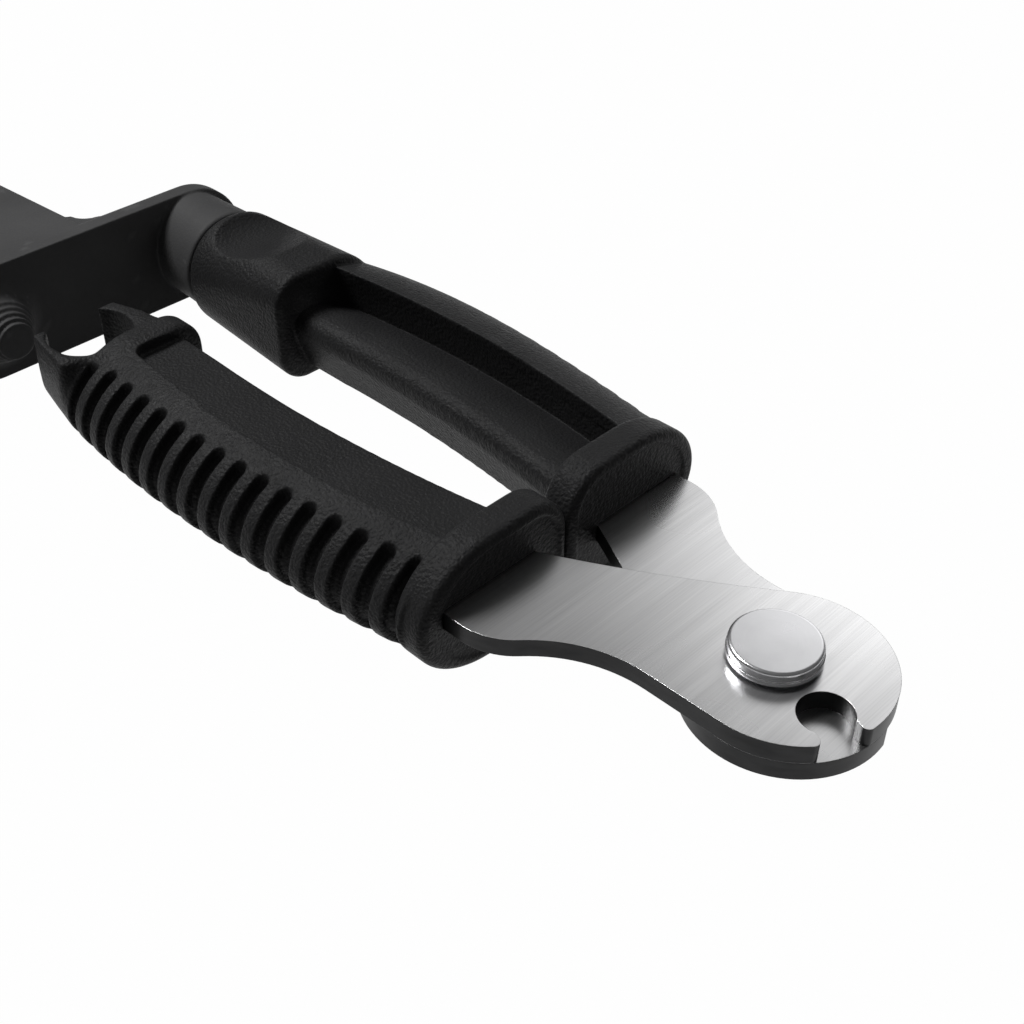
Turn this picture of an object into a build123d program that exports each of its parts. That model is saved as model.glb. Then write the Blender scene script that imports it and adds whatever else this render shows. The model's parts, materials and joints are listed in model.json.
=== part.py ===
"""String winder: a crank with a peg socket, a side cutter and a bridge-pin puller in one hand tool.

Two plier handles share one pivot. Each carries a stamped blade moulded into its grip. The far grip ends in a
barrel on which the winder crank turns, and the near grip ends in a forked bridge-pin puller.
"""

import os
from math import cos, radians, sin

from build123d import *

# ---------------------------------------------------------------- driving dimensions, mm
# Along the tool, distances are counted from the jaw pivot: +X to the cutting nose, +Y to the crank grip, and
# heights from the plane in which the two blades touch.

BLADE_THICKNESS = 2.5
RUNNING_GAP = 0.05          # between faces that slide on each other
HEAD_RADIUS = 12.0          # round head of each blade
HEAD_AHEAD = 2.0            # centre of the head in front of the pivot
NECK_BACK = 8.2             # where the blade's edges leave its round head
TANG_INNER = 5.6            # blade edges where they enter the collar, from the tool's centre line
TANG_OUTER = 20.8
TANG_LENGTH = 26.0          # hidden part of each blade, inside its grip
TANG_TONGUE = 8.0           # width of the hidden tongue
TANG_TONGUE_ROOT = 1.0      # how far the tongue is joined into the blade
TANG_SHORT = 2.8            # the blade's full width ends this far inside the collar's face
TANG_LOCK_RADIUS = 2.0      # holes through which the grip locks
TANG_LOCKS = (5.0, 15.0)    # their distances from the tongue's end
OUTER_BEND_END = 2.6        # the outer edge runs straight from this far outside the collar's face
OUTER_BEND_SHARE = 2 / 3    # where along that edge its bend turns back
INNER_LEAVE = 7.0           # where the inner edge leaves the round head, behind the head's centre
INNER_CURVE = (11.3, -0.45) # middle of the inner edge: outside the collar's face, from the centre line

NOTCH_RADIUS = 3.2          # string notch of each cutter
NOTCH_AHEAD = 9.1
NOTCH_ASIDE = 3.3
NOTCH_MOUTH = 5.0           # width of the way into the notch
NOTCH_TURN = 24.0           # degrees from the nose to that way in
NOTCH_LIP = 0.8             # rounding of its two lips

SHANK_RADIUS = 3.0          # pivot rivet
RIVET_CLEARANCE = 0.05      # radial, in the blade that turns
RIVET_TOP_RADIUS = 4.95
RIVET_TOP_ROUND = ((0.3, 0.15), (0.4, 0.5))     # its top edge, out and down from the flat top
RIVET_FOOT_ROUND = ((0.75, 0.65), (0.4, 1.0))   # its foot, as shares of the foot's radius and height
RIVET_BAND_RADIUS = 5.45
RIVET_BAND_HEIGHT = 0.55
RIVET_HEAD_HEIGHT = 1.75
RIVET_FOOT_RADIUS = 4.6
RIVET_FOOT_HEIGHT = 1.3
WASHER_RADIUS = 4.9
WASHER_THICKNESS = 0.45

COLLAR_FRONT = -30.5        # front lip of the collar round each blade
COLLAR_LENGTH = 4.9
COLLAR_RECESS = 0.3         # depth of the collar's front face behind its lip
COLLAR_LIP = 1.4            # width of that lip
COLLAR_FRONT_ROUND = 1.2    # rounding of the collar's front edge
COLLAR_BACK_ROUND = 0.65
COLLAR_HALF_HEIGHT = 9.3
COLLAR_OUTER = 24.6
COLLAR_INNER_ROUND = 6.0
COLLAR_ROUND_PART = 12.0    # how much of its width the round outer side takes
COLLAR_FACE_SIDE = 2.4      # inset of the sunk face on the round outer side
CLOSED_GAP = 0.3            # between the two collars when the handles are closed

GRIP_START = 1.5            # the oval starts this far inside the collar
GRIP_FRONT_FALL = 1.1       # how much less it reaches half-way to its bulge
GRIP_HALF_WIDTH = 13.0      # of the oval that shapes the outside of a grip
GRIP_PANEL_HEIGHT = 8.9     # half of the oval on the panel's side
GRIP_TROUGH_HEIGHT = 7.7    # half of the oval on the trough's side
GRIP_BULGE = 29.2           # greatest reach of a grip from the centre line
GRIP_BULGE_AT = -76.0
FORK_REACH = 27.8           # reach of the oval at the tail that carries the fork
BARREL_REACH = 25.6         # reach of the oval at the tail that carries the barrel
GRIP_TAIL_AT = -100.0
GRIP_FRONT_REACH = 25.0
WALL_LEAN = 0.35            # slope of the inner wall of a grip

INNER_WALL = (              # reach of the inner wall at the panel's height, from the collar to the tail
    (-31.0, 6.4),
    (-52.0, 9.6),
    (-76.0, 10.9),
    (-98.0, 10.6),
    (-111.4, 11.6),
)
INNER_WALL_ROUND = (        # how far the wall falls back near the trough's floor, at each height
    (12.0, 0.0),
    (0.6, 0.0),
    (-1.2, 0.4),
    (-2.4, 1.5),
    (-3.2, 3.2),
)

PANEL_HEIGHT = 7.0          # flat hollow on the broad side of a grip
PANEL_BACK = -94.6
PANEL_MIDDLE = -66.0
PANEL_EDGE = (16.3, 19.7, 18.5)     # its outer edge at the collar, in the middle and at the back
PANEL_CORNER = 1.6
BRIDGE_BACK = -99.1         # raised bridge between the panel and the tail
BRIDGE_TOP = 9.0
BRIDGE_INNER = 7.2          # reach of its rounded inner end
BRIDGE_END_ROUND = 4.4
BRIDGE_HEEL = -1.0          # where that end turns under
BRIDGE_FOOT = -5.0          # its underside
BRIDGE_SHOULDER = ((17.0, 9.0), (20.0, 8.5), (23.0, 7.0))   # reach and height where its top falls to the grip
BRIDGE_LIP = 1.2            # rounding of its front edge
TROUGH_FLOOR = -1.7         # deep finger trough on the other side
TROUGH_SLOPE = 7.0          # degrees; its floor rises to the inner edge
TROUGH_BACK = -94.2
TROUGH_EDGE = (16.2, 19.2, 17.6)
TROUGH_ROUND = 3.4

GROOVE_COUNT = 16
GROOVE_PITCH = 4.13
GROOVE_FIRST = -35.4
GROOVE_WIDTH = 2.1
GROOVE_SIDE_DEPTH = 1.2     # depth of the grooves where they cross the grip's side
GROOVE_TOP_DEPTH = 1.9      # and at their round ends
GROOVE_REACH = 23.0         # of their round ends, at the grip's widest place
GROOVE_REACH_FALL = 0.0021  # by which that falls with the square of the distance from there
GROOVE_FOOT = 4.4           # height of their other ends, on the trough's side

FORK_TIP = -109.4           # bridge-pin puller
FORK_HEIGHT = 7.5
FORK_SIDE_AT = 0.6          # share of that height at which its outer side turns
FORK_BELOW = 8.3            # half of its oval underside
FORK_SECTIONS = (           # place, reach, reach of the flat top and of the inner side: in the grip, root, tip
    (-98.6, 27.9, 20.5, 8.9),
    (-99.8, 27.7, 26.8, 9.2),
    (-109.4, 25.6, 25.4, 12.2),
)
PIN_NOTCH_RADIUS = 5.95
PIN_NOTCH_AT = (-104.9, 19.1)
PIN_NOTCH_MOUTH = 8.4
FORK_BEVEL = ((-88.6, -9.4), (-101.0, -7.2), (-110.4, -0.5))    # underside of the tail

AXIS_ASIDE = 14.4           # crank axis from the centre line
BARREL_END = -117.4
BARREL_RADIUS = 9.2
BARREL_ROUND = 1.6          # rounding at the crank's end
BARREL_FLAT = 0.2           # half the flat left between its nearly round corners
BARREL_LIP = 1.0            # and at the trough
BARREL_STEPS = 2            # sections between its round end and its square end
BARREL_HALF_HEIGHT = 9.0
BARREL_INNER = 5.6
BARREL_OUTER = 24.8
BARREL_CORNER = 4.6         # inner corners where the barrel meets the trough
BARREL_SHOULDER = 8.4       # outer corners there
DIMPLE = ((-115.7, 9.4), (-112.4, 7.3), (-107.0, 7.5), (-97.6, 9.4))    # hollow across the top of the barrel

HUB_RADIUS = 8.5            # crank
HUB_ROUND = 0.7
ARM_FRONT = -127.8
ARM_THICKNESS = 4.1
ARM_RADIUS = 9.2
HUB_ROOT = (7.4, 8.8)       # half width and half height of the hub where it leaves the arm
ARM_BACK_ROUND = 1.8
CRANK_THROW = 36.9
SOCKET_LENGTH = 28.0
SOCKET_WIDTH = 39.4
SOCKET_HEIGHT = 18.4
SOCKET_DRAFT = 3.0          # how much narrower the mouth is than the root
SOCKET_ROUND = 2.0
SOCKET_WALL = 3.4
SOCKET_DEPTH = 24.0
SOCKET_WEB = 3.2            # hollow rounding between the arm's back and the socket's side
KNOB_FLARE = 8.0            # radius of the knob where it leaves the arm
KNOB_BASE = 5.0             # radius where its ridges begin
KNOB_SMOOTH = 2.6           # height of the smooth part below them
KNOB_RIDGES = 5
KNOB_RIDGE_RISE = 0.9       # each ridge is this much higher
KNOB_RIDGE_STEP = 0.52      # and this much narrower than the one below
KNOB_RIDGE_GROOVE = 0.4     # depth of the groove below each ridge

AXLE_RADIUS = 2.5
AXLE_CLEARANCE = 0.05
AXLE_HEAD_RADIUS = 4.2
AXLE_HEAD_HEIGHT = 1.5
AXLE_HEAD_CHAMFER = 0.3
AXLE_SEAT_DEPTH = 2.4
AXLE_SEAT_CLEARANCE = 0.3
AXLE_GRIP = 19.0            # length pressed into the barrel
AXLE_WASHER_THICKNESS = 0.5
THRUST_WASHER_RADIUS = 6.4
THRUST_WASHER_THICKNESS = 0.5

# ---------------------------------------------------------------- places that follow from them

SOCKET_END = ARM_FRONT - ARM_THICKNESS - SOCKET_LENGTH
CRANK_ASIDE = AXIS_ASIDE - CRANK_THROW
NOSE = HEAD_AHEAD + HEAD_RADIUS
PIVOT = (
    -(NOSE + SOCKET_END) / 2,
    -(GRIP_BULGE + CRANK_ASIDE - SOCKET_WIDTH / 2) / 2,
    COLLAR_HALF_HEIGHT,
)
COLLAR_INNER = CLOSED_GAP / 2
COLLAR_BACK = COLLAR_FRONT - COLLAR_LENGTH
COLLAR_FACE = COLLAR_FRONT - COLLAR_RECESS
HUB_END = BARREL_END - THRUST_WASHER_THICKNESS
NEAR = -1                   # puller grip and upper blade
FAR = 1                     # crank grip and lower blade
RELIEF_PAST = 12.0          # how far a cut reaches past the tool


def level(height):
    """Plane parallel to the blades at a height above the plane where they touch."""
    return Plane((PIVOT[0], PIVOT[1], PIVOT[2] + height))


def station(x):
    """Upright plane across the tool at a distance from the pivot, facing the nose."""
    return Plane((PIVOT[0] + x, PIVOT[1], PIVOT[2]), x_dir=(0, 1, 0), z_dir=(1, 0, 0))


def lengthwise(y):
    """Upright plane along the tool at a distance from its centre line."""
    return Plane((PIVOT[0], PIVOT[1] + y, PIVOT[2]), x_dir=(1, 0, 0), z_dir=(0, -1, 0))


def write(piece, name):
    piece.label = name
    export_step(piece, f"parts/{name}.step")


os.makedirs("parts", exist_ok=True)


# ---------------------------------------------------------------- blades

def blade(side, pivot_hole):
    """Stamped cutter blade with its notch, pivot hole and locking tongue; both blades are the same stamping."""
    shoulder = COLLAR_FACE + OUTER_BEND_END
    bend_start = (-NECK_BACK, HEAD_RADIUS)
    bend_end = (shoulder, TANG_OUTER)
    bend_middle = tuple(a + (b - a) * OUTER_BEND_SHARE for a, b in zip(bend_start, bend_end))
    inner_leave = HEAD_AHEAD - INNER_LEAVE
    inner_aside = -((HEAD_RADIUS**2 - INNER_LEAVE**2) ** 0.5)
    tang_end = COLLAR_FACE - TANG_SHORT
    tongue_middle = (TANG_INNER + TANG_OUTER) / 2
    tongue_end = COLLAR_FACE - TANG_LENGTH

    def at(x, aside):
        return (x, side * aside)

    with BuildPart() as body:
        with BuildSketch(level(-side * RUNNING_GAP / 2)) as outline:
            with BuildLine():
                Line(at(HEAD_AHEAD, HEAD_RADIUS), at(*bend_start))
                first = TangentArc(at(*bend_start), at(*bend_middle), tangent=(-1, 0))
                TangentArc(at(*bend_middle), at(*bend_end), tangent=first % 1)
                Polyline(at(*bend_end), at(tang_end, TANG_OUTER), at(tang_end, TANG_INNER),
                         at(COLLAR_FACE, TANG_INNER))
                ThreePointArc(at(COLLAR_FACE, TANG_INNER), at(COLLAR_FACE + INNER_CURVE[0], INNER_CURVE[1]),
                              at(inner_leave, inner_aside))
                ThreePointArc(at(inner_leave, inner_aside), at(NOSE, 0), at(HEAD_AHEAD, HEAD_RADIUS))
            make_face()
            with Locations(at((tang_end + TANG_TONGUE_ROOT + tongue_end) / 2, tongue_middle)):
                Rectangle(tang_end + TANG_TONGUE_ROOT - tongue_end, TANG_TONGUE)
            with Locations(at(NOTCH_AHEAD, NOTCH_ASIDE)):
                Circle(NOTCH_RADIUS, mode=Mode.SUBTRACT)
            mouth = Location((NOTCH_AHEAD, side * NOTCH_ASIDE), side * NOTCH_TURN)
            with Locations(mouth):
                Rectangle(HEAD_RADIUS, NOTCH_MOUTH, align=(Align.MIN, Align.CENTER), mode=Mode.SUBTRACT)
            lips = outline.vertices().sort_by_distance((mouth * Location((2 * NOTCH_RADIUS, 0))).position)
            fillet(lips[:2], NOTCH_LIP)
            Circle(pivot_hole, mode=Mode.SUBTRACT)
            with Locations([at(tongue_end + along, tongue_middle) for along in TANG_LOCKS]):
                Circle(TANG_LOCK_RADIUS, mode=Mode.SUBTRACT)
        extrude(amount=-side * BLADE_THICKNESS)
    return body.part


upper_blade = blade(NEAR, SHANK_RADIUS + RIVET_CLEARANCE)
lower_blade = blade(FAR, SHANK_RADIUS)
write(upper_blade, "upper_blade")
write(lower_blade, "lower_blade")

# ---------------------------------------------------------------- pivot rivet and its washer

blade_top = RUNNING_GAP / 2 + BLADE_THICKNESS
rivet_seat = blade_top + WASHER_THICKNESS + RUNNING_GAP
rivet_profile_plane = lengthwise(0)

with BuildPart() as pivot_rivet:
    with BuildSketch(rivet_profile_plane):
        with BuildLine():
            top = rivet_seat + RIVET_HEAD_HEIGHT
            band = rivet_seat + RIVET_BAND_HEIGHT
            foot = -blade_top
            crown = [(RIVET_TOP_RADIUS + out, top - down) for out, down in RIVET_TOP_ROUND]
            sole = [(RIVET_FOOT_RADIUS * out, foot - RIVET_FOOT_HEIGHT * down)
                    for out, down in RIVET_FOOT_ROUND]
            Polyline((0, top), (RIVET_TOP_RADIUS, top))
            ThreePointArc((RIVET_TOP_RADIUS, top), *crown)
            Polyline(crown[-1], (crown[-1][0], band), (RIVET_BAND_RADIUS, band),
                     (RIVET_BAND_RADIUS, rivet_seat), (SHANK_RADIUS, rivet_seat),
                     (SHANK_RADIUS, foot), (RIVET_FOOT_RADIUS, foot))
            ThreePointArc((RIVET_FOOT_RADIUS, foot), *sole)
            Polyline(sole[-1], (0, sole[-1][1]), (0, top))
        make_face()
    revolve(axis=Axis((PIVOT[0], PIVOT[1], 0), (0, 0, 1)))
write(pivot_rivet.part, "pivot_rivet")

with BuildPart() as pivot_washer:
    with BuildSketch(level(blade_top + RUNNING_GAP)):
        Circle(WASHER_RADIUS)
        Circle(SHANK_RADIUS, mode=Mode.SUBTRACT)
    extrude(amount=WASHER_THICKNESS)
write(pivot_washer.part, "pivot_washer")

# ---------------------------------------------------------------- what both grips have

GRIP_STATIONS = (
    (COLLAR_BACK + GRIP_START, GRIP_FRONT_REACH),
    ((COLLAR_BACK + GRIP_BULGE_AT) / 2, GRIP_BULGE - GRIP_FRONT_FALL),
    (GRIP_BULGE_AT, GRIP_BULGE),
)


def grip_oval(side, side_inset, height_inset):
    """Outside of a grip between its collar and its tail, set in by two amounts."""
    with BuildPart() as oval:
        for x, reach in (*GRIP_STATIONS, (GRIP_TAIL_AT, FORK_REACH if side == NEAR else BARREL_REACH)):
            centre = (side * (reach - GRIP_HALF_WIDTH), 0)
            half_width = GRIP_HALF_WIDTH - side_inset
            upper, lower = GRIP_TROUGH_HEIGHT - height_inset, GRIP_PANEL_HEIGHT - height_inset
            if side == NEAR:
                upper, lower = lower, upper
            with BuildSketch(station(x)):
                with BuildLine():
                    EllipticalCenterArc(centre, half_width, upper, start_angle=0, arc_size=180)
                    EllipticalCenterArc(centre, half_width, lower, start_angle=180, arc_size=180)
                make_face()
        loft()
    return oval.part


def inner_relief(side):
    """Space on the inner side of a grip: a leaning, curved wall that rounds over at the trough's floor."""
    with BuildPart() as relief:
        for height, fall in INNER_WALL_ROUND:
            lean = WALL_LEAN * (height - PANEL_HEIGHT) + fall
            with BuildSketch(level(-side * height)):
                with BuildLine():
                    wall = Spline(*[(x, side * (reach + lean)) for x, reach in INNER_WALL])
                    Polyline(wall @ 1, ((wall @ 1).X, -side * RELIEF_PAST),
                             ((wall @ 0).X, -side * RELIEF_PAST), wall @ 0)
                make_face()
        loft(ruled=True)
        extrude(relief.faces().sort_by(Axis.Z)[0 if side == NEAR else -1], amount=GRIP_PANEL_HEIGHT)
    return relief.part


def panel_relief(side):
    """Shallow flat hollow on one broad side of a grip, open to the inner edge, with a rounded lip at its back."""
    near, middle, far = PANEL_EDGE
    with BuildPart() as relief:
        with BuildSketch(level(-side * PANEL_HEIGHT)):
            with BuildLine():
                edge = ThreePointArc((COLLAR_BACK, side * near), (PANEL_MIDDLE, side * middle),
                                     (PANEL_BACK, side * far))
                Polyline(edge @ 1, (PANEL_BACK, 0), (COLLAR_BACK, 0), edge @ 0)
            make_face()
        extrude(amount=-side * GRIP_PANEL_HEIGHT)
        fillet(relief.edges().filter_by(Axis.Z).sort_by_distance(
            (PIVOT[0] + PANEL_BACK, PIVOT[1] + side * far, PIVOT[2]))[0], PANEL_CORNER)
    return relief.part


def bridge(side):
    """Raised bridge behind the panel, with a soft front lip and a round inner end."""
    with BuildPart() as bar:
        with BuildSketch(station(BRIDGE_BACK)):
            with BuildLine():
                inner = side * BRIDGE_INNER
                top = -side * BRIDGE_TOP
                shoulder = [(side * reach, -side * height) for reach, height in BRIDGE_SHOULDER]
                round_foot = -side * (BRIDGE_TOP - BRIDGE_END_ROUND)
                round_top = (side * (BRIDGE_INNER + BRIDGE_END_ROUND), top)
                foot = -side * BRIDGE_FOOT
                heel = -side * BRIDGE_HEEL
                foot_round = (side * (BRIDGE_INNER + BRIDGE_END_ROUND), foot)
                Polyline(shoulder[-1], (shoulder[-1][0], foot), foot_round)
                TangentArc(foot_round, (inner, heel), tangent=(-side, 0))
                Line((inner, heel), (inner, round_foot))
                TangentArc((inner, round_foot), round_top, tangent=(0, -side))
                Line(round_top, shoulder[0])
                ThreePointArc(*shoulder)
            make_face()
        extrude(amount=PANEL_BACK - BRIDGE_BACK)
        lip = bar.faces().sort_by(Axis.X)[-1].edges().filter_by(
            lambda edge: abs(edge.center().Z - PIVOT[2]) > PANEL_HEIGHT)
        fillet(lip, BRIDGE_LIP)
    return bar.part


def trough_relief(side):
    """Deep finger trough on the other broad side: its floor rises to the open inner edge."""
    near, middle, far = TROUGH_EDGE
    turn = radians(TROUGH_SLOPE)
    foot = level(-side * TROUGH_FLOOR).origin + Vector(0, side * middle, 0)
    floor = Plane(foot, x_dir=(1, 0, 0), z_dir=(0, -sin(turn), side * cos(turn)))
    with BuildPart() as relief:
        with BuildSketch(floor):
            with BuildLine():
                edge = ThreePointArc((COLLAR_BACK, near - middle), (PANEL_MIDDLE, 0),
                                     (TROUGH_BACK, far - middle))
                Polyline(edge @ 1, (TROUGH_BACK, -middle), (COLLAR_BACK, -middle), edge @ 0)
            make_face()
        extrude(amount=GRIP_HALF_WIDTH)
        curved = relief.edges().filter_by(GeomType.CIRCLE).sort_by_distance(foot)
        fillet(curved[0], TROUGH_ROUND)
    return relief.part


def collar_outline(side, inset, outer_inset):
    """Section of the collar: rounded corners on the inner side, half an ellipse on the outer side."""
    inner = side * (COLLAR_INNER + inset)
    middle = side * (COLLAR_OUTER - COLLAR_ROUND_PART)
    half_height = COLLAR_HALF_HEIGHT - inset
    with BuildSketch() as section:
        with Locations(((inner + middle) / 2, 0)):
            Rectangle(abs(middle - inner), 2 * half_height)
        corners = [v for v in section.vertices() if abs(v.X - inner) < abs(v.X - middle)]
        fillet(corners, COLLAR_INNER_ROUND - inset)
        with Locations((middle, 0)):
            Ellipse(COLLAR_ROUND_PART - outer_inset, half_height)
    return section.sketch


def collar(side):
    """Rounded collar round the blade, with a thin lip round its sunk front face."""
    with BuildPart() as ring:
        with BuildSketch(station(COLLAR_BACK)):
            add(collar_outline(side, 0, 0))
        extrude(amount=COLLAR_LENGTH)
        fillet(ring.faces().sort_by(Axis.X)[-1].edges(), COLLAR_FRONT_ROUND)
        fillet(ring.faces().sort_by(Axis.X)[0].edges(), COLLAR_BACK_ROUND)
        with BuildSketch(station(COLLAR_FACE)):
            add(collar_outline(side, COLLAR_LIP, COLLAR_FACE_SIDE))
        extrude(amount=2 * COLLAR_RECESS, mode=Mode.SUBTRACT)
    return ring.part


# ---------------------------------------------------------------- grips

def grooves(side):
    """Row of slots across the outside of a grip, round at their inner ends; a core gives them their floor."""
    with BuildPart() as slots:
        with BuildSketch(level(side * GROOVE_FOOT)):
            for groove in range(GROOVE_COUNT):
                x = GROOVE_FIRST - groove * GROOVE_PITCH
                reach = GROOVE_REACH - GROOVE_REACH_FALL * (x - GRIP_BULGE_AT) ** 2
                with Locations((x, side * (reach + GRIP_HALF_WIDTH / 2))):
                    SlotOverall(GRIP_HALF_WIDTH, GROOVE_WIDTH, rotation=90)
        extrude(amount=-side * (GROOVE_FOOT + 2 * GRIP_PANEL_HEIGHT))
    return slots.part


def grip_front(side):
    """Everything that both grips share: ribbed oval, collar, panel, and the bed of the blade."""
    with BuildPart() as front:
        add(grip_oval(side, 0, 0))
        add(grooves(side), mode=Mode.SUBTRACT)
        add(grip_oval(side, GROOVE_SIDE_DEPTH, GROOVE_TOP_DEPTH))
        add(inner_relief(side), mode=Mode.SUBTRACT)
        add(panel_relief(side), mode=Mode.SUBTRACT)
    return front.part


def pin_fork(side):
    """Forked tail that lifts bridge pins, flat above and oval below, before its notch is cut."""
    top = -side * FORK_HEIGHT
    with BuildPart() as fork:
        for x, reach, top_reach, inner_reach in FORK_SECTIONS:
            outer, inner = side * reach, side * (reach - 2 * GRIP_HALF_WIDTH)
            middle = side * (top_reach + 2 * reach) / 3
            with BuildSketch(station(x)):
                with BuildLine():
                    EllipticalCenterArc(((outer + inner) / 2, 0), GRIP_HALF_WIDTH, FORK_BELOW,
                                        start_angle=180, arc_size=180)
                    Polyline((inner, 0), (inner, top), (side * top_reach, top))
                    ThreePointArc((side * top_reach, top), (middle, top * FORK_SIDE_AT), (outer, 0))
                make_face()
                with Locations((side * inner_reach, 0)):
                    Rectangle(GRIP_BULGE, 2 * RELIEF_PAST, align=(Align.MIN if side == FAR else Align.MAX,
                                                                  Align.CENTER), mode=Mode.INTERSECT)
        loft(ruled=True)
    return fork.part


def fork_relief(side):
    """What is taken off the tail: the pin notch and the bevel under the prongs."""
    with BuildPart() as relief:
        with BuildSketch(level(-RELIEF_PAST)):
            with Locations((PIN_NOTCH_AT[0], side * PIN_NOTCH_AT[1])):
                Circle(PIN_NOTCH_RADIUS)
            with Locations((FORK_TIP, side * PIN_NOTCH_AT[1])):
                Rectangle(2 * (PIN_NOTCH_AT[0] - FORK_TIP), PIN_NOTCH_MOUTH)
        extrude(amount=2 * RELIEF_PAST)
        with BuildSketch(lengthwise(0)):
            with BuildLine():
                bevel = ThreePointArc(*FORK_BEVEL)
                Polyline(bevel @ 1, ((bevel @ 1).X, -RELIEF_PAST), ((bevel @ 0).X, -RELIEF_PAST), bevel @ 0)
            make_face()
        extrude(amount=-side * GRIP_BULGE)
    return relief.part


with BuildPart() as puller_grip:
    add(grip_front(NEAR))
    with BuildSketch(station(BRIDGE_BACK)):
        Rectangle(4 * GRIP_BULGE, 2 * RELIEF_PAST)
    extrude(amount=2 * (GRIP_TAIL_AT - BRIDGE_BACK), mode=Mode.SUBTRACT)
    add(pin_fork(NEAR))
    add(fork_relief(NEAR), mode=Mode.SUBTRACT)
    add(bridge(NEAR))
    add(trough_relief(NEAR), mode=Mode.SUBTRACT)
    add(collar(NEAR))
    add(upper_blade, mode=Mode.SUBTRACT)
write(puller_grip.part, "puller_grip")


def barrel_section(share):
    """Section of the barrel: 0 where the crank turns on it, 1 where it meets the trough."""
    inner = AXIS_ASIDE - BARREL_RADIUS + share * (BARREL_INNER - AXIS_ASIDE + BARREL_RADIUS)
    outer = AXIS_ASIDE + BARREL_RADIUS + share * (BARREL_OUTER - AXIS_ASIDE - BARREL_RADIUS)
    half_height = BARREL_RADIUS + share * (BARREL_HALF_HEIGHT - BARREL_RADIUS)
    nearly_round = BARREL_RADIUS - BARREL_FLAT
    with BuildSketch() as section:
        with Locations(((inner + outer) / 2, 0)):
            Rectangle(outer - inner, 2 * half_height)
        sides = section.vertices().group_by(Axis.X)
        fillet(sides[0], nearly_round + share * (BARREL_CORNER - nearly_round))
        fillet(section.vertices().group_by(Axis.X)[-1], nearly_round + share * (BARREL_SHOULDER - nearly_round))
    return section.sketch


def barrel():
    """Head of the crank grip: round where the crank turns on it, squarer where it meets the trough."""
    with BuildPart() as head:
        for step in range(BARREL_STEPS + 1):
            share = step / BARREL_STEPS
            with BuildSketch(station(BARREL_END + share * (TROUGH_BACK - BARREL_END))):
                add(barrel_section(share))
        loft()
        fillet(head.faces().sort_by(Axis.X)[0].edges(), BARREL_ROUND)
        fillet(head.faces().sort_by(Axis.X)[-1].edges(), BARREL_LIP)
    return head.part


with BuildPart() as crank_grip:
    add(grip_front(FAR))
    add(barrel())
    add(trough_relief(FAR), mode=Mode.SUBTRACT)
    add(collar(FAR))
    with BuildSketch(lengthwise(AXIS_ASIDE)):
        with BuildLine():
            scoop = Spline(*DIMPLE)
            Line(scoop @ 1, scoop @ 0)
        make_face()
    extrude(amount=2 * BARREL_RADIUS, both=True, mode=Mode.SUBTRACT)
    with BuildSketch(station(BARREL_END)):
        with Locations((AXIS_ASIDE, 0)):
            Circle(AXLE_RADIUS)
    extrude(amount=AXLE_GRIP, mode=Mode.SUBTRACT)
    add(lower_blade, mode=Mode.SUBTRACT)
write(crank_grip.part, "crank_grip")

# ---------------------------------------------------------------- crank with its peg socket

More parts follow.
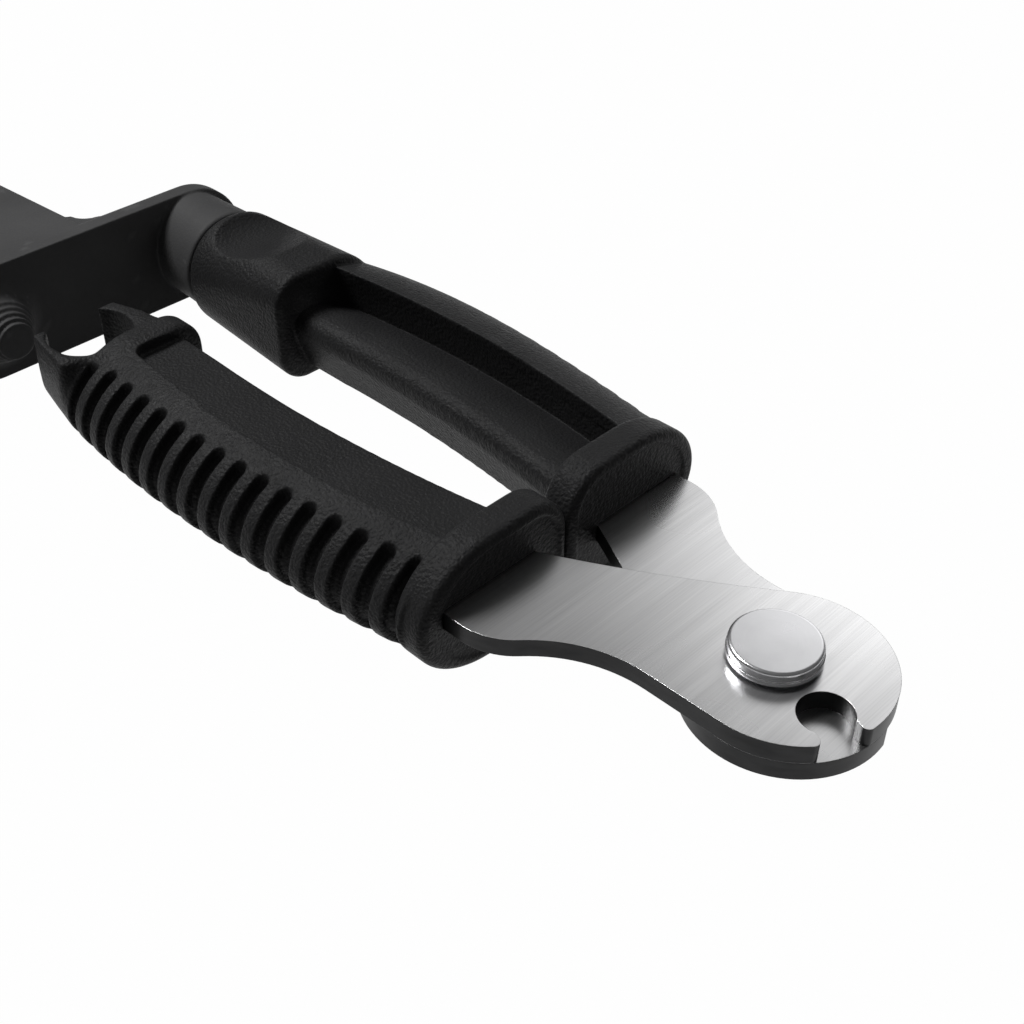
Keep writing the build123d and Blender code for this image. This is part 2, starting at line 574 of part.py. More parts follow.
with BuildPart() as winder_crank:
    with BuildSketch(station(ARM_FRONT)):
        with Locations((AXIS_ASIDE - CRANK_THROW / 2, 0)):
            SlotCenterToCenter(CRANK_THROW, 2 * ARM_RADIUS)
    extrude(amount=-ARM_THICKNESS)
    fillet(winder_crank.faces().sort_by(Axis.X)[0].edges(), ARM_BACK_ROUND)
    with BuildSketch(station(ARM_FRONT - ARM_THICKNESS / 2)):
        with Locations((CRANK_ASIDE, 0)):
            RectangleRounded(SOCKET_WIDTH, SOCKET_HEIGHT, SOCKET_ROUND)
    with BuildSketch(station(SOCKET_END)):
        with Locations((CRANK_ASIDE, 0)):
            RectangleRounded(SOCKET_WIDTH - SOCKET_DRAFT, SOCKET_HEIGHT - SOCKET_DRAFT / 2, SOCKET_ROUND)
    loft()
    arm_back = ARM_FRONT - ARM_THICKNESS
    socket_side = CRANK_ASIDE + (SOCKET_WIDTH - SOCKET_DRAFT / 8) / 2
    with BuildSketch(level(-ARM_RADIUS + ARM_BACK_ROUND / 4)):
        with BuildLine():
            Polyline((arm_back - SOCKET_WEB, socket_side), (arm_back - SOCKET_WEB, socket_side - SOCKET_WEB),
                     (arm_back + 1, socket_side - SOCKET_WEB), (arm_back + 1, socket_side + SOCKET_WEB),
                     (arm_back, socket_side + SOCKET_WEB))
            RadiusArc((arm_back, socket_side + SOCKET_WEB), (arm_back - SOCKET_WEB, socket_side), SOCKET_WEB)
        make_face()
    extrude(amount=2 * ARM_RADIUS - ARM_BACK_ROUND / 2)
    with BuildSketch(station(SOCKET_END)):
        with Locations((CRANK_ASIDE, 0)):
            RectangleRounded(SOCKET_WIDTH - SOCKET_DRAFT - 2 * SOCKET_WALL,
                             SOCKET_HEIGHT - SOCKET_DRAFT / 2 - 2 * SOCKET_WALL, SOCKET_ROUND)
    extrude(amount=SOCKET_DEPTH, mode=Mode.SUBTRACT)
    with BuildSketch(station(ARM_FRONT)):
        with Locations((AXIS_ASIDE, 0)):
            Ellipse(*HUB_ROOT)
    with BuildSketch(station(HUB_END)):
        with Locations((AXIS_ASIDE, 0)):
            Circle(HUB_RADIUS)
    loft()
    fillet(winder_crank.faces().sort_by(Axis.X)[-1].outer_wire().edges(), HUB_ROUND)
    with BuildSketch(Plane(station(0).origin, x_dir=(1, 0, 0), z_dir=(0, 0, 1))):
        with BuildLine():
            flare = ThreePointArc((ARM_FRONT, CRANK_ASIDE + KNOB_FLARE),
                                  (ARM_FRONT + KNOB_SMOOTH / 3, CRANK_ASIDE + (KNOB_FLARE + 2 * KNOB_BASE) / 3),
                                  (ARM_FRONT + KNOB_SMOOTH, CRANK_ASIDE + KNOB_BASE))
            steps = [(ARM_FRONT + KNOB_SMOOTH, CRANK_ASIDE + KNOB_BASE)]
            for ridge in range(KNOB_RIDGES):
                radius = KNOB_BASE - ridge * KNOB_RIDGE_STEP
                height = ARM_FRONT + KNOB_SMOOTH + ridge * KNOB_RIDGE_RISE
                steps.append((height + KNOB_RIDGE_RISE / 2, CRANK_ASIDE + radius))
                if ridge < KNOB_RIDGES - 1:
                    steps.append((height + KNOB_RIDGE_RISE / 2, CRANK_ASIDE + radius - KNOB_RIDGE_GROOVE * 2))
                    steps.append((height + KNOB_RIDGE_RISE, CRANK_ASIDE + radius - KNOB_RIDGE_STEP))
            Polyline(*steps, (steps[-1][0], CRANK_ASIDE), (ARM_FRONT - 1, CRANK_ASIDE),
                     (ARM_FRONT - 1, CRANK_ASIDE + KNOB_FLARE), flare @ 0)
        make_face()
    revolve(axis=Axis((0, PIVOT[1] + CRANK_ASIDE, PIVOT[2]), (1, 0, 0)))
    with BuildSketch(station(ARM_FRONT - ARM_THICKNESS)):
        with Locations((AXIS_ASIDE, 0)):
            Circle(AXLE_HEAD_RADIUS + AXLE_SEAT_CLEARANCE)
    extrude(amount=AXLE_SEAT_DEPTH, mode=Mode.SUBTRACT)
    with BuildSketch(station(ARM_FRONT - ARM_THICKNESS)):
        with Locations((AXIS_ASIDE, 0)):
            Circle(AXLE_RADIUS + AXLE_CLEARANCE)
    extrude(amount=HUB_END - ARM_FRONT + ARM_THICKNESS, mode=Mode.SUBTRACT)
write(winder_crank.part, "winder_crank")

# ---------------------------------------------------------------- axle of the crank and its washers

axle_seat = ARM_FRONT - ARM_THICKNESS + AXLE_SEAT_DEPTH
axle_head = axle_seat - RUNNING_GAP - AXLE_WASHER_THICKNESS

with BuildPart() as crank_axle:
    with BuildSketch(station(axle_head)):
        with Locations((AXIS_ASIDE, 0)):
            Circle(AXLE_HEAD_RADIUS)
    extrude(amount=-AXLE_HEAD_HEIGHT)
    chamfer(crank_axle.faces().sort_by(Axis.X)[0].edges(), AXLE_HEAD_CHAMFER)
    with BuildSketch(station(axle_head)):
        with Locations((AXIS_ASIDE, 0)):
            Circle(AXLE_RADIUS)
    extrude(amount=BARREL_END + AXLE_GRIP - axle_head)
write(crank_axle.part, "crank_axle")


def ring_washer(x, thickness, radius):
    with BuildPart() as washer:
        with BuildSketch(station(x)):
            with Locations((AXIS_ASIDE, 0)):
                Circle(radius)
                Circle(AXLE_RADIUS, mode=Mode.SUBTRACT)
        extrude(amount=thickness)
    return washer.part


axle_washer = ring_washer(axle_head, AXLE_WASHER_THICKNESS, AXLE_HEAD_RADIUS)
write(axle_washer, "axle_washer")
thrust_washer = ring_washer(HUB_END + RUNNING_GAP, THRUST_WASHER_THICKNESS - RUNNING_GAP, THRUST_WASHER_RADIUS)
write(thrust_washer, "thrust_washer")
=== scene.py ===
"""Looks of the string winder: moulded black grips and crank, brushed blades, a turned rivet and a studio."""

import json
import math

import bpy
import numpy as np
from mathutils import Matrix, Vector

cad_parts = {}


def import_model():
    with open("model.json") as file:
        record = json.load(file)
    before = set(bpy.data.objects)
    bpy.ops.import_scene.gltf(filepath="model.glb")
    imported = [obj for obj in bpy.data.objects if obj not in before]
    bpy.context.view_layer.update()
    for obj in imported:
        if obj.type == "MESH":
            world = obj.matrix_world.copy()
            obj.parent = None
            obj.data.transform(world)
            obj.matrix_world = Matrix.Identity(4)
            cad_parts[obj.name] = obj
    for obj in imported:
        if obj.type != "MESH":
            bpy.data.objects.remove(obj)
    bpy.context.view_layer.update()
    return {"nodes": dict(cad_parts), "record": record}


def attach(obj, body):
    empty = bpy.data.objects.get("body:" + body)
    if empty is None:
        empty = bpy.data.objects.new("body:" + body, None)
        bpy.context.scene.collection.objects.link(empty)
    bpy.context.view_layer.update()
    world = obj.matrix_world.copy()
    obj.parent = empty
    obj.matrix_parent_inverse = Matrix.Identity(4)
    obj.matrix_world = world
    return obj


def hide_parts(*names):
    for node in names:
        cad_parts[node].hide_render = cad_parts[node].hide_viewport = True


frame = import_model()
nodes = frame["nodes"]
MM = 0.001

behaviour = frame["record"]["behaviour"]
joint_places = {joint["name"]: Vector(joint["pos_m"]) for joint in behaviour["joints"]}
PIVOT = joint_places["handle_hinge"]
CRANK_AXIS = joint_places["crank_turn"]


# ---------------------------------------------------------------- node trees

class Tree:
    """A material's or the world's node tree, with short calls to add and join nodes."""

    def __init__(self, owner):
        owner.use_nodes = True
        self.nodes = owner.node_tree.nodes
        self.links = owner.node_tree.links
        self.nodes.clear()

    def add(self, kind, settings=None, **inputs):
        """Adds a node. Settings are its properties; inputs are numbers, colours or other nodes' sockets."""
        node = self.nodes.new(kind)
        for name, value in (settings or {}).items():
            setattr(node, name, value)
        for name, value in inputs.items():
            self.set(node, name.replace("_", " "), value)
        return node

    def set(self, node, name, value):
        socket = node.inputs[int(name)] if name.isdigit() else node.inputs[name]
        if isinstance(value, bpy.types.NodeSocket):
            self.links.new(value, socket)
        else:
            socket.default_value = value

    def math(self, operation, *values):
        node = self.nodes.new("ShaderNodeMath")
        node.operation = operation
        for number, value in enumerate(values):
            self.set(node, str(number), value)
        return node.outputs[0]

    def vector_math(self, operation, *values):
        node = self.nodes.new("ShaderNodeVectorMath")
        node.operation = operation
        for number, value in enumerate(values):
            self.set(node, str(number), value)
        return node.outputs["Value" if operation in ("LENGTH", "DOT_PRODUCT") else "Vector"]

    def ramp(self, value, *stops):
        """Colour ramp from (place, grey or colour) stops."""
        node = self.nodes.new("ShaderNodeValToRGB")
        elements = node.color_ramp.elements
        while len(elements) < len(stops):
            elements.new(0.5)
        for element, (place, colour) in zip(elements, stops):
            grey = (colour,) * 3 if isinstance(colour, (int, float)) else colour
            element.position = place
            element.color = (*grey, 1)
        self.links.new(value, node.inputs[0])
        return node.outputs[0]

    def range(self, value, low, high, to_low, to_high):
        node = self.add("ShaderNodeMapRange", Value=value)
        for name, number in (("From Min", low), ("From Max", high), ("To Min", to_low), ("To Max", to_high)):
            node.inputs[name].default_value = number
        return node.outputs[0]

    def mean(self, one, other):
        return self.math("ADD", self.math("MULTIPLY", one, 0.5), self.math("MULTIPLY", other, 0.5))

    def tinted(self, colour, shade):
        """A colour made darker or lighter by a shade round 1."""
        tint = self.add("ShaderNodeMix", {"data_type": "RGBA", "blend_type": "MULTIPLY"})
        tint.inputs["Factor"].default_value = 1.0
        tint.inputs["A"].default_value = (*colour, 1)
        combine = self.add("ShaderNodeCombineColor", Red=shade, Green=shade, Blue=shade)
        self.links.new(combine.outputs[0], tint.inputs["B"])
        return tint.outputs["Result"]

    def place(self):
        """The piece's own coordinates, in metres of the shared frame."""
        return self.add("ShaderNodeTexCoord").outputs["Object"]

    def noise(self, vector, scale, detail=3.0, roughness=0.5):
        return self.add("ShaderNodeTexNoise", Vector=vector, Scale=scale, Detail=detail,
                        Roughness=roughness).outputs[0]


def new_material(name):
    material = bpy.data.materials.new(name)
    return material, Tree(material)


def dress(name, material):
    """Gives a CAD node its finish, in place."""
    mesh = nodes[name].data
    mesh.materials.clear()
    mesh.materials.append(material)


# ---------------------------------------------------------------- black moulded plastic

NOISE_BAND = (0.3, 0.7)        # where most values of a noise texture lie

GRAIN_CELL = 0.42 * MM         # pebbles of the leather-like mould grain
GRAIN_DRIFT = 0.7              # how fast the pebbles' rows wander, per cell
GRAIN_CREASE = 2.2             # creases between the pebbles, in cells
GRAIN_FINE = 0.12 * MM
GRAIN_HEIGHT = 0.17 * MM
GRAIN_WEIGHTS = (-0.9, 0.9, 0.35)          # of pebbles, creases and fine grain in the height
PATCH_SCALE = 55.0             # patches where the grain is worn or crisp, and by how much
PATCH_BAND = (0.35, 0.65)
PATCH_STRENGTH = (0.75, 1.1)
WORN_EDGE = (0.5, 0.62)        # pointiness from flat to a rubbed edge
WORN_PALER = 0.3
WORN_SMOOTHER = 0.06
CLOUD_SCALE = 90.0
CLOUD_SHADE = (0.88, 1.12)
PLASTIC_ROUGH_SPREAD = (-0.04, 0.05)
PLASTIC_GLOSS = 0.08


def moulded_plastic(name, colour, roughness, grain, cell):
    """Black plastic with a pebbled mould grain, rubbed a little smoother and paler on its edges."""
    material, t = new_material(name)
    place = t.place()
    wander = t.add("ShaderNodeTexNoise", Vector=place, Scale=GRAIN_DRIFT / cell).outputs[1]
    drifted = t.vector_math("ADD", place, t.vector_math("MULTIPLY", wander, (cell, cell, cell)))
    pebbles = t.add("ShaderNodeTexVoronoi", {"feature": "SMOOTH_F1"}, Vector=drifted,
                    Scale=1 / cell, Smoothness=0.6).outputs["Distance"]
    creases = t.noise(place, 1 / (GRAIN_CREASE * cell), 4.0, 0.65)
    fine = t.noise(place, 1 / GRAIN_FINE, 2.0)
    by_pebbles, by_creases, by_fine = GRAIN_WEIGHTS
    height = t.math("ADD", t.math("MULTIPLY", pebbles, by_pebbles),
                    t.math("ADD", t.math("MULTIPLY", creases, by_creases), t.math("MULTIPLY", fine, by_fine)))
    patches = t.range(t.noise(place, PATCH_SCALE, 2.0), *PATCH_BAND, *PATCH_STRENGTH)
    bump = t.add("ShaderNodeBump", Strength=t.math("MULTIPLY", patches, grain), Distance=GRAIN_HEIGHT,
                 Height=height)
    worn = t.range(t.add("ShaderNodeNewGeometry").outputs["Pointiness"], *WORN_EDGE, 0.0, 1.0)
    cloud = t.range(t.noise(place, CLOUD_SCALE, 4.0), *NOISE_BAND, *CLOUD_SHADE)
    shade = t.math("ADD", cloud, t.math("MULTIPLY", worn, WORN_PALER))
    smoother, rougher = PLASTIC_ROUGH_SPREAD
    matt = t.range(t.noise(place, 1 / (1.5 * cell), 3.0), *NOISE_BAND,
                   roughness + smoother, roughness + rougher)
    rough = t.math("SUBTRACT", matt, t.math("MULTIPLY", worn, WORN_SMOOTHER))
    shader = t.add("ShaderNodeBsdfPrincipled", Roughness=rough, Normal=bump.outputs[0])
    t.links.new(t.tinted(colour, shade), shader.inputs["Base Color"])
    shader.inputs["Specular IOR Level"].default_value = PLASTIC_GLOSS
    t.add("ShaderNodeOutputMaterial", Surface=shader.outputs[0])
    return material


GRIP_BLACK = moulded_plastic("grip_black", (0.0175, 0.0175, 0.018), 0.46, 0.8, GRAIN_CELL)
# painted light: the crank's black is about three times lighter than the grips' black, standing in for the
# brighter light its tops catch
CRANK_BLACK = moulded_plastic("crank_black", (0.052, 0.052, 0.0528), 0.58, 0.16, GRAIN_CELL)


# ---------------------------------------------------------------- moulded shapes

MOULD_VOXEL = 0.21 * MM        # step of the remesh that melts the sharp edges
GRIP_SMOOTHING = 5             # passes of smoothing after it
CRANK_SMOOTHING = 4
HALF_WAY = 0.5                 # share of the way to its neighbours' middle that a point moves in a pass
KEPT_FACES = 0.35              # share of the faces that is left once the flat places are thinned out


def evaluated_mesh(piece, *modifiers):
    """The piece's mesh with some modifiers applied, each given as a kind and its settings."""
    for kind, settings in modifiers:
        modifier = piece.modifiers.new(kind.lower(), kind)
        for name, value in settings.items():
            setattr(modifier, name, value)
    bpy.context.view_layer.update()
    mesh = bpy.data.meshes.new_from_object(piece.evaluated_get(bpy.context.evaluated_depsgraph_get()))
    piece.modifiers.clear()
    return mesh


def softened(name, passes, material, slot, *edits):
    """A moulded piece as it leaves the tool: the CAD solid with every sharp edge melted to a small radius."""
    piece = bpy.data.objects.new(name + "_moulded", nodes[name].data.copy())
    bpy.context.collection.objects.link(piece)
    piece.data = evaluated_mesh(piece, ("WELD", {"merge_threshold": 0.001 * MM}),
                                ("REMESH", {"mode": "VOXEL", "voxel_size": MOULD_VOXEL}),
                                ("SMOOTH", {"factor": HALF_WAY, "iterations": passes}))
    for edit in edits:
        edit(piece.data)
    piece.data = evaluated_mesh(piece, ("DECIMATE", {"ratio": KEPT_FACES}))
    mesh = piece.data
    mesh.materials.clear()
    mesh.materials.append(material)
    mesh.polygons.foreach_set("use_smooth", [True] * len(mesh.polygons))
    mesh.update()
    body = next(body for body, names in behaviour["bodies"].items() if name in names)
    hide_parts(name)
    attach(piece, body)


def read_points(mesh):
    """Vertices in millimetres: along the tool from the pivot, aside from its centre line, and height."""
    flat = np.empty(len(mesh.vertices) * 3)
    mesh.vertices.foreach_get("co", flat)
    return (flat.reshape(-1, 3) - np.array(PIVOT)) / MM


def write_points(mesh, points):
    mesh.vertices.foreach_set("co", (points * MM + np.array(PIVOT)).ravel())
    mesh.update()


def relax(mesh, points, share, passes):
    """Moves each point towards the middle of its neighbours, by its own share, a number of times."""
    ends = np.empty(len(mesh.edges) * 2, dtype=np.int64)
    mesh.edges.foreach_get("vertices", ends)
    a, b = ends.reshape(-1, 2).T
    count = np.maximum(np.bincount(a, minlength=len(points)) + np.bincount(b, minlength=len(points)), 1)
    for _ in range(passes):
        sums = [np.bincount(a, points[b, k], len(points)) + np.bincount(b, points[a, k], len(points))
                for k in range(3)]
        middle = np.stack(sums, axis=1) / count[:, None]
        points = points + share[:, None] * (middle - points)
    return points


def through(places, values):
    """Smooth curve through a few places, as a function."""
    return np.poly1d(np.polyfit(places, values, len(places) - 1))


def ease(value, low, high):
    share = np.clip((value - low) / (high - low), 0, 1)
    return share * share * (3 - 2 * share)


# The finger trough of the crank grip, in millimetres from the pivot. Its floor is crowned, rolls over at the
# inner edge and falls gently to a sharp corner at the foot of the outer wall.
TROUGH_ENDS = (-94.3, -35.3)
TROUGH_INNER = through((-31, -52, -76, -98), (6.4, 9.6, 10.9, 10.6))
TROUGH_OUTER = through((-35.4, -66, -94.2), (16.2, 19.2, 17.6))
TROUGH_OLD_FLOOR = (19.2, 1.7, 0.123)      # place, height and slope of the solid's own floor
TROUGH_FILLET = 3.4                        # and the fillet at its foot
TROUGH_FOOT = 0.9                          # height of the new floor's foot
TROUGH_FALL = 1.5                          # how the slope of the floor grows towards the foot
TROUGH_CROWN = ((-2.6, -2.45, -2.2, -1.8, -1.1, -0.2, 0.8, 1.8),    # places outwards from the inner edge
                (0.3, 0.9, 1.5, 2.1, 2.62, 2.9, 2.95, 2.88))        # and the floor's heights there
TROUGH_REACH = (0.12, 0.25, 0.3)           # slack into the wall, under the old floor and over it
TROUGH_RELAX = 3


def crown_trough(mesh):
    points = read_points(mesh)
    x, y, height = points.T
    place, level, slope = TROUGH_OLD_FLOOR
    places, heights = TROUGH_CROWN
    into_wall, under, over = TROUGH_REACH
    inner, outer = TROUGH_INNER(x), TROUGH_OUTER(x)
    old_floor = level + slope * (y - place)
    wall = outer - slope * (height - level)
    inside = ((x > TROUGH_ENDS[0]) & (x < TROUGH_ENDS[1]) & (y - inner > places[0])
              & (y < wall + into_wall) & (height > old_floor - under))

    # the old fillet's lower half becomes floor, its upper half becomes wall
    aside = TROUGH_FILLET - (wall - y)
    above = TROUGH_FILLET - (height - old_floor)
    bend = np.arctan2(np.maximum(aside, 0), np.maximum(above, 1e-6)) / (math.pi / 4)
    fillet = inside & (aside > 0) & (above > 0)
    low = fillet & (bend < 1)
    y = np.where(low, outer - TROUGH_FILLET * (1 - bend), np.where(fillet, wall, y))

    # heights of the crowned floor, and what is lifted to it
    from_crest = y - inner - places[-1]
    fall = np.clip(from_crest / np.maximum(outer - inner - places[-1], 0.1), 0, 1)
    crown = np.where(from_crest < 0, np.interp(y - inner, places, heights),
                     heights[-1] + (TROUGH_FOOT - heights[-1]) * fall ** TROUGH_FALL)
    floor = inside & ~fillet & (height < old_floor + over)
    rise = np.maximum(bend - 1, 0) * (TROUGH_FILLET + level - TROUGH_FOOT)
    height = np.where(low | floor, crown, np.where(fillet, TROUGH_FOOT + rise, height))
    height = np.where(inside, np.maximum(height, crown), height)
    moved = HALF_WAY * (floor | fillet)
    write_points(mesh, relax(mesh, np.stack([x, y, height], axis=1), moved, TROUGH_RELAX))


# The tail of the puller grip, in millimetres behind the pivot, where its edges melt into larger radii.
FORK_ROOT = (98.3, 99.6)       # from here to here the melting sets in
FORK_PRONGS = (101.5, 104.5)   # and here it drops by this share, to keep the prongs
FORK_SPARED = 0.88
FORK_PASSES = 70


def melt_fork(mesh):
    points = read_points(mesh)
    share = ease(-points[:, 0], *FORK_ROOT) * (1 - FORK_SPARED * ease(-points[:, 0], *FORK_PRONGS))
    write_points(mesh, relax(mesh, points, HALF_WAY * share, FORK_PASSES))


softened("puller_grip", GRIP_SMOOTHING, GRIP_BLACK, "grip_plastic", melt_fork)
softened("crank_grip", GRIP_SMOOTHING, GRIP_BLACK, "grip_plastic", crown_trough)
softened("winder_crank", CRANK_SMOOTHING, CRANK_BLACK, "crank_plastic")

# ---------------------------------------------------------------- steel

BRUSH_PITCH = 0.16 * MM        # across the brush lines
BRUSH_RUN = 14 * MM            # along them
BRUSH_DEPTH = 0.006 * MM
BRUSH_STRENGTH = 0.6
BRUSH_BROAD = (700.0, 30.0, 30.0)          # scale of the wider, paler streaks along X, Y and Z
BRUSHED_GREYS = ((0.62, 0.62, 0.625), (0.8, 0.8, 0.805))
BRUSHED_ROUGH = (0.245, 0.315)
SMUDGE_SCALE = 60.0
# painted shade: grain and near-black greys of the blades' side faces, standing in for the dark surroundings
# they would reflect
SIDE_SHADE_GRAIN = (300.0, 300.0, 900.0)
PAINTED_DARK_SIDE_GREYS = ((0.022, 0.022, 0.0224), (0.031, 0.031, 0.0316))
SIDE_FACE_ROUGHER = 0.12
FACE_UP = (0.55, 0.9)          # upright part of the normal, from a side face with painted dark colour to a brushed face
EDGE_ROUND = 0.11 * MM


def brushed_steel(name):
    """Blade steel, brushed across the blade on its flats, with smooth side faces whose near-black colour is
    painted shade standing in for the dark surroundings they reflect.
    """
    material, t = new_material(name)
    coordinates = t.add("ShaderNodeTexCoord")
    place = coordinates.outputs["Object"]
    stretch = t.vector_math("MULTIPLY", place, (1 / BRUSH_PITCH, 1 / BRUSH_RUN, 1 / BRUSH_PITCH))
    lines = t.noise(stretch, 1.0, 3.0, 0.55)
    broad = t.noise(t.vector_math("MULTIPLY", place, BRUSH_BROAD), 1.0, 3.0)
    smudges = t.noise(place, SMUDGE_SCALE, 1.0)
    upright = t.add("ShaderNodeSeparateXYZ", Vector=coordinates.outputs["Normal"]).outputs["Z"]
    flat = t.range(t.math("ABSOLUTE", upright), *FACE_UP, 0.0, 1.0)
    face = t.ramp(t.mean(lines, broad), *zip(NOISE_BAND, BRUSHED_GREYS))
    # painted shade: the side faces are coloured near-black instead of reflecting dark surroundings
    painted_dark_sides = t.ramp(t.noise(t.vector_math("MULTIPLY", place, SIDE_SHADE_GRAIN), 1.0, 3.0),
                     *zip(NOISE_BAND, PAINTED_DARK_SIDE_GREYS))
    colour = t.add("ShaderNodeMix", {"data_type": "RGBA"})
    t.links.new(flat, colour.inputs["Factor"])
    t.links.new(painted_dark_sides, colour.inputs["A"])
    t.links.new(face, colour.inputs["B"])
    rough = t.math("ADD", t.range(smudges, 0.1, 0.9, *BRUSHED_ROUGH),
                   t.range(flat, 0.0, 1.0, SIDE_FACE_ROUGHER, 0.0))
    rounded = t.add("ShaderNodeBevel", {"samples": 6}, Radius=EDGE_ROUND)
    bump = t.add("ShaderNodeBump", Strength=t.math("MULTIPLY", flat, BRUSH_STRENGTH), Distance=BRUSH_DEPTH,
                 Height=lines, Normal=rounded.outputs[0])
    shader = t.add("ShaderNodeBsdfPrincipled", Metallic=1.0, Roughness=rough, Normal=bump.outputs[0])
    t.links.new(colour.outputs["Result"], shader.inputs["Base Color"])
    t.add("ShaderNodeOutputMaterial", Surface=shader.outputs[0])
    return material


RING_PITCH = 0.08 * MM         # of the turned rings
RING_DEPTH = 0.004 * MM
RING_STRENGTH = 0.2
TURNED_EDGE_ROUND = 0.2 * MM
STAIN_SCALE = 260.0
TURNED_SHADE = (0.8, 1.08)
TURNED_ROUGH_SPREAD = (-0.04, 0.06)
ROUND_AXIS = {"X": (0.0, 1.0, 1.0), "Z": (1.0, 1.0, 0.0)}   # keeps what lies across the axis


def turned_steel(name, centre, axis, colour, roughness):
    """Steel turned on a lathe: fine rings round its axis."""
    material, t = new_material(name)
    away = t.vector_math("SUBTRACT", t.place(), tuple(centre))
    radius = t.vector_math("LENGTH", t.vector_math("MULTIPLY", away, ROUND_AXIS[axis]))
    along = t.add("ShaderNodeCombineXYZ", X=t.math("MULTIPLY", radius, 1 / RING_PITCH))
    rings = t.noise(along.outputs[0], 1.0, 3.0, 0.6)
    stains = t.noise(t.place(), STAIN_SCALE, 4.0)
    shade = t.range(t.mean(rings, stains), *NOISE_BAND, *TURNED_SHADE)
    smoother, rougher = TURNED_ROUGH_SPREAD
    rough = t.range(stains, *NOISE_BAND, roughness + smoother, roughness + rougher)
    rounded = t.add("ShaderNodeBevel", {"samples": 6}, Radius=TURNED_EDGE_ROUND)
    bump = t.add("ShaderNodeBump", Strength=RING_STRENGTH, Distance=RING_DEPTH, Height=rings,
                 Normal=rounded.outputs[0])
    shader = t.add("ShaderNodeBsdfPrincipled", Metallic=1.0, Normal=bump.outputs[0], Roughness=rough)
    t.links.new(t.tinted(colour, shade), shader.inputs["Base Color"])
    t.add("ShaderNodeOutputMaterial", Surface=shader.outputs[0])
    return material


BLADE_STEEL = brushed_steel("blade_brushed")
RIVET_STEEL = turned_steel("rivet_turned", PIVOT, "Z", (0.72, 0.72, 0.735), 0.22)
WASHER_STEEL = turned_steel("washer_dull", PIVOT, "Z", (0.2, 0.2, 0.21), 0.4)
AXLE_STEEL = turned_steel("axle_turned", CRANK_AXIS, "X", (0.5, 0.5, 0.51), 0.3)
for name in ("upper_blade", "lower_blade"):
    dress(name, BLADE_STEEL)
dress("pivot_rivet", RIVET_STEEL)
dress("pivot_washer", WASHER_STEEL)
for name in ("crank_axle", "axle_washer", "thrust_washer"):
    dress(name, AXLE_STEEL)

# ---------------------------------------------------------------- floor, light and camera

FLOOR_SIZE = 6.0
FLOOR_GREY = 0.15
FLOOR_WHITE = 0.99             # share of plain white in the floor where the camera or a mirror sees it
HORIZON, ZENITH = 0.07, 0.14   # greys of the world


def floor():
    half = FLOOR_SIZE / 2
    mesh = bpy.data.meshes.new("floor")
    corners = [(-half, -half, 0), (half, -half, 0), (half, half, 0), (-half, half, 0)]
    mesh.from_pydata(corners, [], [(0, 1, 2, 3)])
    plane = bpy.data.objects.new("floor", mesh)
    bpy.context.collection.objects.link(plane)
    material, t = new_material("floor_paper")
    path = t.add("ShaderNodeLightPath")
    mirrored = t.math("MAXIMUM", path.outputs["Is Glossy Ray"], path.outputs["Is Transmission Ray"])
    lift = t.math("MULTIPLY", t.math("MAXIMUM", path.outputs["Is Camera Ray"], mirrored), FLOOR_WHITE)
    paper = t.add("ShaderNodeBsdfDiffuse", Color=(FLOOR_GREY, FLOOR_GREY, FLOOR_GREY, 1))
    white = t.add("ShaderNodeEmission", Color=(1, 1, 1, 1), Strength=1.0)
    mix = t.add("ShaderNodeMixShader", Fac=lift)
    t.links.new(paper.outputs[0], mix.inputs[1])
    t.links.new(white.outputs[0], mix.inputs[2])
    t.add("ShaderNodeOutputMaterial", Surface=mix.outputs[0])
    mesh.materials.append(material)


def world():
    """A dim studio, a little brighter overhead."""
    sky = bpy.data.worlds.new("studio")
    bpy.context.scene.world = sky
    t = Tree(sky)
    direction = t.add("ShaderNodeTexCoord").outputs["Generated"]
    height = t.add("ShaderNodeSeparateXYZ", Vector=direction).outputs["Z"]
    grey = t.ramp(height, (0.0, HORIZON), (1.0, ZENITH))
    background = t.add("ShaderNodeBackground", Color=grey, Strength=1.0)
    t.add("ShaderNodeOutputWorld", Surface=background.outputs[0])


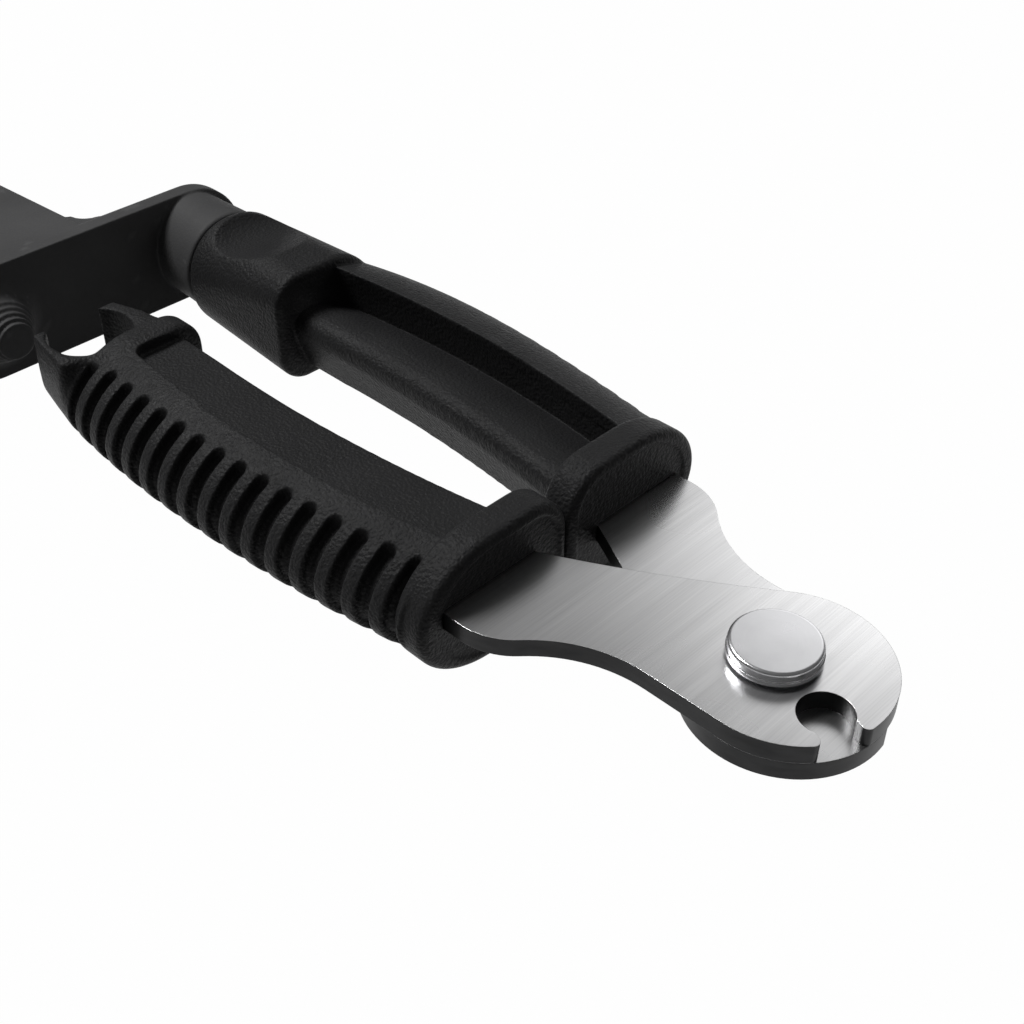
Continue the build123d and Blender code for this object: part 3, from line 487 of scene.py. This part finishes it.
def softbox(name, azimuth, elevation, distance, size, power, target, feather):
    """Square soft light aimed at a target, brightest in its middle. Azimuth is counted from +X towards +Y."""
    lamp = bpy.data.lights.new(name, "AREA")
    lamp.shape = "SQUARE"
    lamp.size = size
    lamp.energy = power
    light = bpy.data.objects.new(name, lamp)
    bpy.context.collection.objects.link(light)
    a, e = math.radians(azimuth), math.radians(elevation)
    towards = Vector((math.cos(a) * math.cos(e), math.sin(a) * math.cos(e), math.sin(e)))
    light.location = target + distance * towards
    light.rotation_euler = towards.to_track_quat("Z", "Y").to_euler()
    t = Tree(lamp)
    across = t.vector_math("SUBTRACT", t.add("ShaderNodeNewGeometry").outputs["Parametric"], (0.5, 0.5, 0.0))
    out = t.vector_math("LENGTH", t.vector_math("MULTIPLY", across, (1.0, 1.0, 0.0)))
    spread = t.math("POWER", t.math("DIVIDE", out, feather), 2.0)
    glow = t.math("EXPONENT", t.math("MULTIPLY", spread, -1.0))
    emission = t.add("ShaderNodeEmission", Color=(1, 1, 1, 1), Strength=glow)
    t.add("ShaderNodeOutputLight", Surface=emission.outputs[0])


CAMERA_FROM_PIVOT = Vector((58.1, -100.2, 112.1)) * MM
CAMERA_DOWN = 38.58            # degrees below the horizon
CAMERA_HEADING = 44.49         # degrees from +Y towards -X
CAMERA_LENS = 50.0
CAMERA_SENSOR = 36.0
CAMERA_CLIP = (0.005, 20.0)


def camera():
    data = bpy.data.cameras.new("camera")
    data.lens = CAMERA_LENS
    data.sensor_width = CAMERA_SENSOR
    data.clip_start, data.clip_end = CAMERA_CLIP
    view = bpy.data.objects.new("camera", data)
    bpy.context.collection.objects.link(view)
    view.location = PIVOT + CAMERA_FROM_PIVOT
    view.rotation_euler = (math.radians(90 - CAMERA_DOWN), 0, math.radians(CAMERA_HEADING))
    bpy.context.scene.camera = view


floor()
world()
middle_of_grips = PIVOT - Vector((60 * MM, 0, 0))
softbox("key", azimuth=198, elevation=56, distance=0.7, size=0.24, power=5.3, target=middle_of_grips,
        feather=2.0)
softbox("blade_card", azimuth=110.8, elevation=30.1, distance=0.154, size=0.23, power=0.3, target=PIVOT,
        feather=0.22)
camera()
bpy.context.scene.view_settings.view_transform = "Standard"
